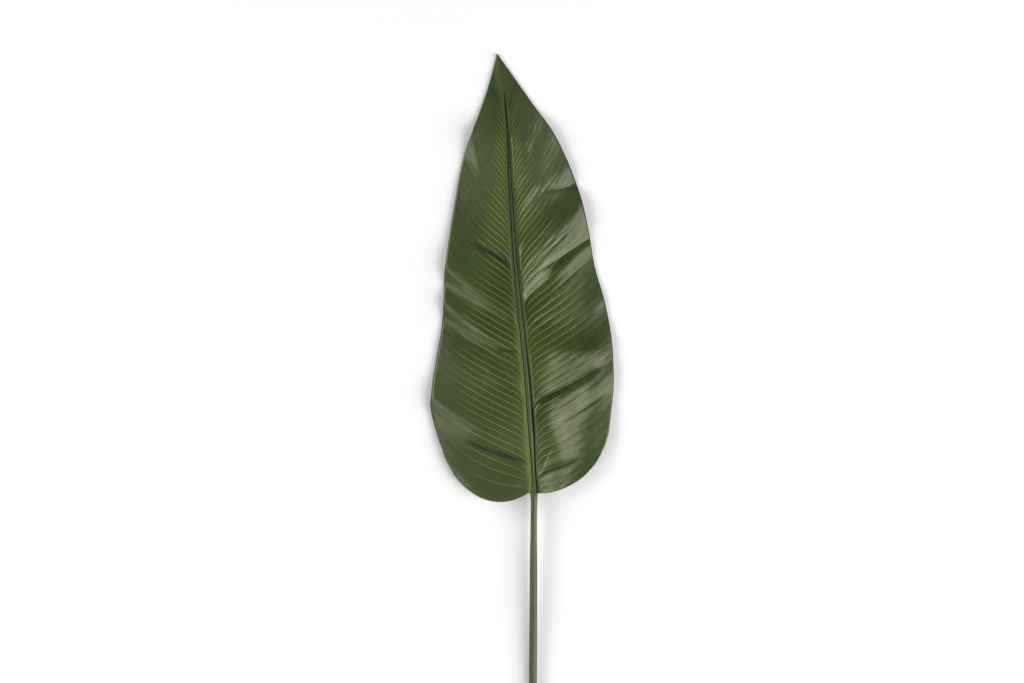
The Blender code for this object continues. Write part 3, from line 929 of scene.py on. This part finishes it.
def upper_roughness(surface, leaf, place, streak, grain):
    """Satin, a little uneven, dull in the channel and at the tip."""
    rough = surface.math("MULTIPLY_ADD", streak, STREAK_ROUGHNESS, UPPER_ROUGHNESS)
    rough = surface.math("MULTIPLY_ADD", grain, GRAIN_ROUGHNESS, rough)
    patches = surface.noise(place, *PATCH_NOISE)
    rough = surface.math("ADD", rough, surface.between(patches, *PATCH_ROUGHNESS))
    rough = surface.math("MAXIMUM", rough, surface.between(leaf.across, *CHANNEL_DULLNESS))
    return surface.math("MAXIMUM", rough, surface.between(leaf.number, *TIP_DULLNESS))


def blade_upper():
    """Satin dark green with yellow-green veins, streaks along the rows, soft mottling, painted sheen and
    painted shade.
    """
    surface = Surface("blade_upper")
    leaf = LeafValues(surface)
    place = surface.place()
    streak = row_streaks(surface, leaf)
    grain = surface.noise(place, *GRAIN_NOISE)
    relief = surface.math("MULTIPLY_ADD", streak, UPPER_STREAK_RELIEF, grain)
    return surface.finish(
        base_color=upper_colour(surface, leaf, place, streak),
        roughness=upper_roughness(surface, leaf, place, streak, grain),
        normal=surface.bump(relief, *UPPER_BUMP),
    )


def blade_under():
    """The back of the sheet: paler, duller, with faint veins."""
    surface = Surface("blade_under")
    leaf = LeafValues(surface)
    place = surface.place()
    mottle = surface.noise(place, *UNDER_MOTTLE_NOISE)
    colour = surface.mix(surface.between(mottle, *UNDER_MOTTLE), UNDER_DARK_GREEN, UNDER_GREEN)
    veins = surface.product(vein_lines(surface, leaf), UNDER_VEIN_STRENGTH)
    colour = surface.mix(veins, colour, UNDER_VEIN_GREEN)
    grain = surface.noise(place, *UNDER_GRAIN_NOISE)
    rough = surface.math("MULTIPLY_ADD", grain, UNDER_GRAIN_ROUGHNESS, UNDER_ROUGHNESS)
    return surface.finish(base_color=colour, roughness=rough, normal=surface.bump(grain, *UNDER_BUMP))


def blade_rim():
    """The cut edge of the sheet, dark and dull."""
    surface = Surface("blade_rim")
    grain = surface.noise(surface.place(), *RIM_NOISE)
    colour = surface.mix(grain, RIM_GREEN, RIM_LIGHT_GREEN)
    return surface.finish(base_color=colour, roughness=RIM_ROUGHNESS)


def stalk_streaks(surface, around, along):
    """Noise drawn out along the stalk."""
    by_cosine, by_sine, by_length = STALK_STREAK_PLACE
    place = surface.vector(
        surface.product(surface.math("COSINE", around), by_cosine),
        surface.product(surface.math("SINE", around), by_sine),
        surface.product(along, by_length),
    )
    return surface.noise(place, *STALK_STREAK_NOISE)


def stalk_colour(surface, around, along, streak):
    """Olive with a brown line along the middle and painted shade on its sides, green where it is the
    midrib.
    """
    colour = surface.mix(surface.between(streak, *STALK_STREAK), STALK_DEEP_OLIVE, STALK_OLIVE)
    across = surface.math("COSINE", around)
    low = surface.between(along, *STALK_LOW)
    away = surface.math("ABSOLUTE", surface.math("SUBTRACT", across, BROWN_LINE_AT))
    line = surface.between(away, *BROWN_LINE_SIDES)
    colour = surface.mix(surface.product(line, low), colour, STALK_BROWN)
    # Painted shade: both sides of the round stalk darkened
    left = surface.between(across, *STALK_LEFT_PAINTED_SHADE)
    right = surface.product(surface.between(across, *STALK_RIGHT_PAINTED_SHADE), low)
    colour = surface.mix(surface.math("MAXIMUM", left, right), colour, STALK_PAINTED_SHADE)
    return surface.mix(surface.between(along, *STALK_TO_MIDRIB), colour, MIDRIB_GREEN)


def stalk_skin():
    """Olive stalk with long light and dark streaks, turning green along the blade."""
    surface = Surface("stalk_skin")
    around = surface.attribute("around_stalk")
    along = surface.attribute("along_stalk")
    streak = stalk_streaks(surface, around, along)
    grain = surface.noise(surface.place(), *STALK_GRAIN_NOISE)
    relief = surface.math("MULTIPLY_ADD", streak, STALK_STREAK_RELIEF, grain)
    return surface.finish(
        base_color=stalk_colour(surface, around, along, streak),
        roughness=surface.math("MULTIPLY_ADD", grain, STALK_GRAIN_ROUGHNESS, STALK_ROUGHNESS),
        normal=surface.bump(relief, *STALK_BUMP),
    )


def stalk_cut():
    """The cut end: pale, with the ends of its fibres."""
    surface = Surface("stalk_cut")
    fibres = surface.noise(surface.place(), *FIBRE_NOISE)
    colour = surface.mix(surface.between(fibres, *CUT_FIBRES), CUT_OLIVE, CUT_PALE)
    relief = surface.bump(fibres, *CUT_BUMP)
    return surface.finish(base_color=colour, roughness=CUT_ROUGHNESS, normal=relief)


def floor_surface():
    """Matt near-white."""
    surface = Surface("pale_floor")
    grain = surface.noise(surface.place(), *FLOOR_NOISE)
    colour = surface.mix(grain, FLOOR_SHADE, FLOOR_WHITE)
    return surface.finish(base_color=colour, roughness=FLOOR_ROUGHNESS)


def add_floor():
    """One wide pale plane that the leaf lies on."""
    bpy.ops.mesh.primitive_plane_add(size=FLOOR_SIZE, location=(0.0, 0.0, FLOOR_LEVEL))
    floor = bpy.context.object
    floor.name = "floor"
    floor.data.materials.append(floor_surface())


def add_softbox(name, polar, azimuth, distance, size, power):
    """A wide soft light aimed at the leaf, placed by its angle from overhead and its compass angle."""
    direction = Vector((
        math.sin(math.radians(polar)) * math.cos(math.radians(azimuth)),
        math.sin(math.radians(polar)) * math.sin(math.radians(azimuth)),
        math.cos(math.radians(polar)),
    ))
    lamp = bpy.data.lights.new(name, "AREA")
    lamp.shape = "RECTANGLE"
    lamp.size = size[0]
    lamp.size_y = size[1]
    lamp.energy = power
    box = bpy.data.objects.new(name, lamp)
    box.location = Vector(LIGHT_TARGET) + direction * distance
    box.rotation_euler = direction.to_track_quat("Z", "Y").to_euler()
    bpy.context.scene.collection.objects.link(box)


def add_world():
    """Even white light from all round."""
    world = bpy.data.worlds.new("studio")
    world.use_nodes = True
    backdrop = world.node_tree.nodes["Background"]
    backdrop.inputs["Color"].default_value = (1.0, 1.0, 1.0, 1.0)
    backdrop.inputs["Strength"].default_value = ROOM_LIGHT
    bpy.context.scene.world = world


def add_camera():
    """Straight above the leaf, framed as the photo frames it."""
    lens = bpy.data.cameras.new("camera")
    lens.lens = CAMERA_LENS
    lens.sensor_width = SENSOR_WIDTH
    eye = bpy.data.objects.new("camera", lens)
    across = (PICTURE[0] / 2 - JUNCTION_PIXEL[0]) * PICTURE_SCALE
    along = (JUNCTION_PIXEL[1] - PICTURE[1] / 2) * PICTURE_SCALE
    width = PICTURE[0] * PICTURE_SCALE * MM
    distance = width * CAMERA_LENS / SENSOR_WIDTH
    place = placed(np.float64(across), np.float64(along), np.float64(0.0))
    eye.location = (place[0], place[1], BLADE_LEVEL + distance)
    bpy.context.scene.collection.objects.link(eye)
    bpy.context.scene.camera = eye


def clear_startup():
    """Removes what a new Blender file holds, and keeps the frame."""
    for thing in list(bpy.data.objects):
        if thing.type in ("CAMERA", "LIGHT") or thing.name == "Cube":
            bpy.data.objects.remove(thing, do_unlink=True)


def dress():
    """The fine blade and stalk in the place of the plain ones."""
    blade = fine_blade()
    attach(blade, "root")
    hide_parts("blade")
    stalk = fine_stalk()
    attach(stalk, "root")
    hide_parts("stalk")


clear_startup()
dress()
add_floor()
add_world()
add_softbox("key_light", polar=39.0, azimuth=-22.0, distance=2.6, size=(1.3, 1.3), power=28.0)
add_softbox("fill_light", polar=50.0, azimuth=206.0, distance=2.6, size=(1.25, 1.25), power=13.5)
add_softbox("right_light", polar=68.0, azimuth=-20.0, distance=3.2, size=(2.6, 2.0), power=92.0)
add_softbox("left_light", polar=68.0, azimuth=160.0, distance=3.2, size=(2.6, 2.0), power=92.0)
add_camera()
bpy.context.scene.view_settings.view_transform = "Standard"
